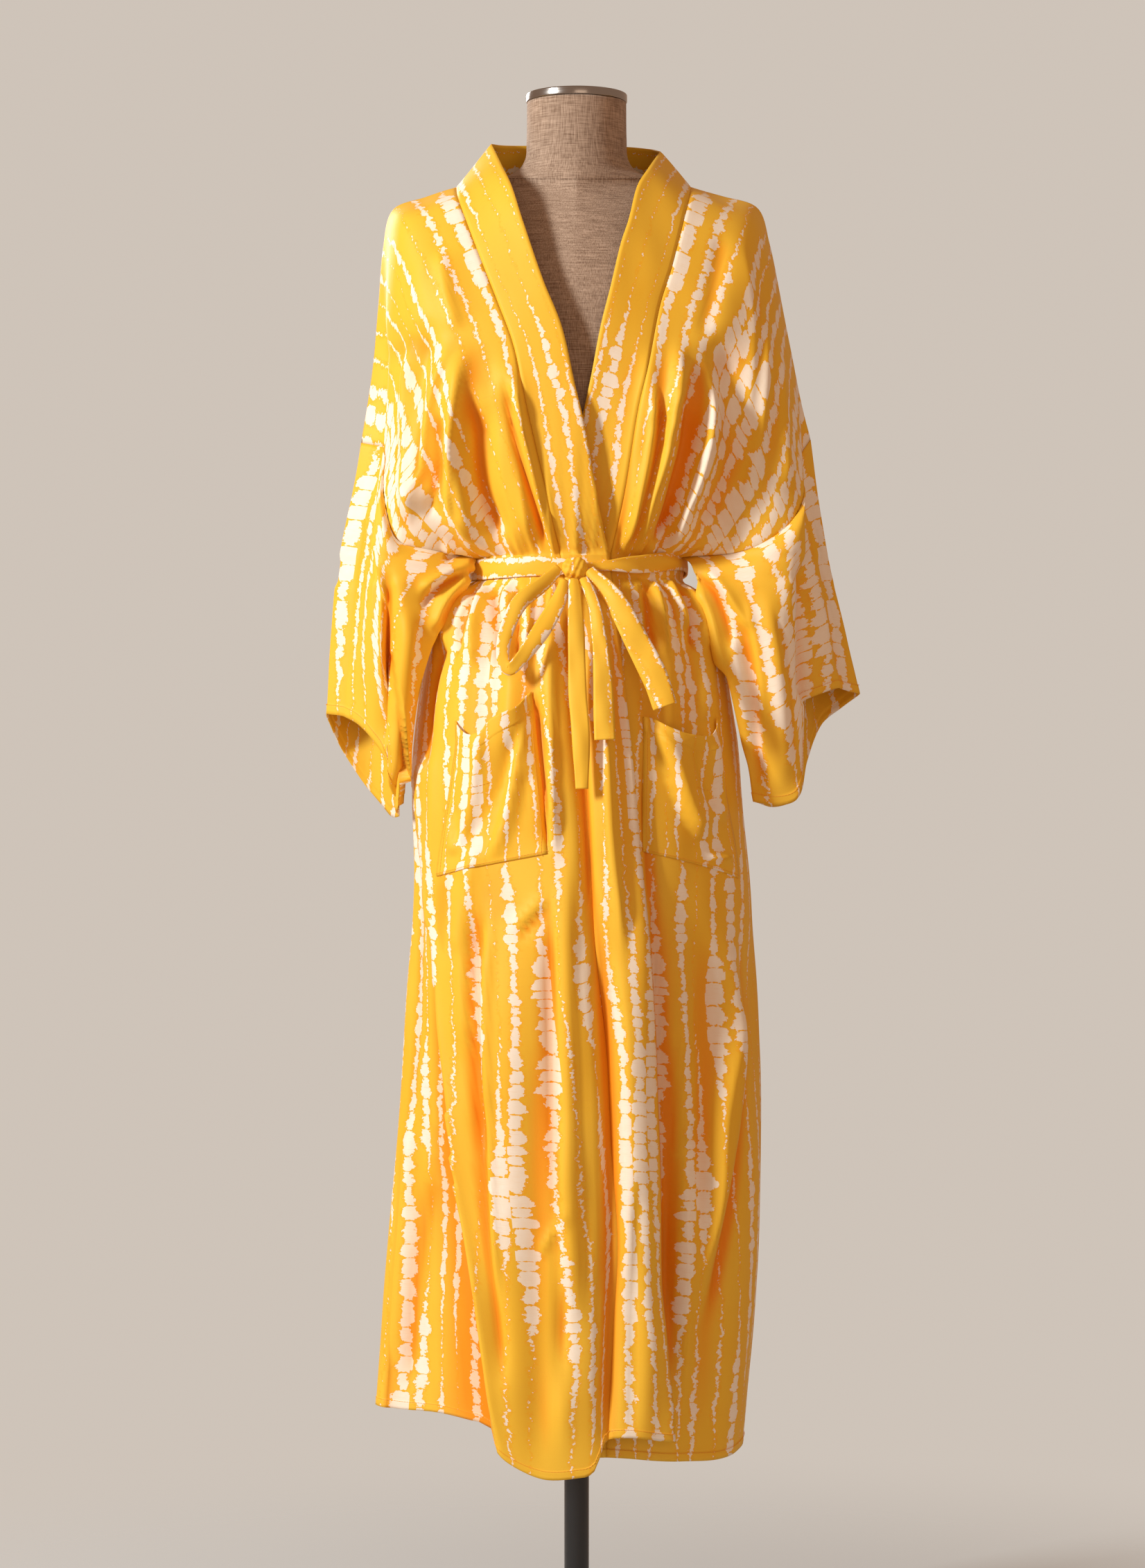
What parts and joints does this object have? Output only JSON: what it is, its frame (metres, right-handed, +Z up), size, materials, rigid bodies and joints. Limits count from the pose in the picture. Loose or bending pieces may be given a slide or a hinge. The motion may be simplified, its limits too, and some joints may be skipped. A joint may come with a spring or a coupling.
{
  "type": "belted kimono robe on a limbless dress form with stand",
  "caption": "Long open-front kimono robe with wide sleeves, wrap front, patch pockets and a tied cloth belt, worn by a linen dress form on a pole with a round base.",
  "frame": {"origin": "middle of the base plate's underside", "axes": "+Z up along the pole, the robe's front towards -Y, the wearer's left towards +X"},
  "size_m": [0.5535, 0.36, 1.659],
  "materials": {
    "robe_cloth": "light satin-faced cloth, golden yellow with rows of cream tie-dyed beads, soft sheen",
    "form_linen": "taupe linen weave, matte",
    "neck_metal": "polished metal",
    "stand_paint": "black satin paint"
  },
  "bodies": {
    "root": {"back_bodice": "robe_cloth", "back_skirt": "robe_cloth", "front_right_bodice": "robe_cloth", "front_right_skirt": "robe_cloth", "front_left_bodice": "robe_cloth", "front_left_skirt": "robe_cloth", "band_right": "robe_cloth", "band_left": "robe_cloth", "sleeve_right": "robe_cloth", "sleeve_left": "robe_cloth", "pocket_right": "robe_cloth", "pocket_left": "robe_cloth", "belt_wrap": "robe_cloth", "belt_knot": "robe_cloth", "bow_loop_right": "robe_cloth", "bow_loop_left": "robe_cloth", "belt_tail_long": "robe_cloth", "belt_tail_short": "robe_cloth", "form_torso": "form_linen", "neck_ring": "neck_metal", "neck_cap": "neck_metal", "stand_pole": "stand_paint", "stand_base": "stand_paint"}
  },
  "joints": []
}
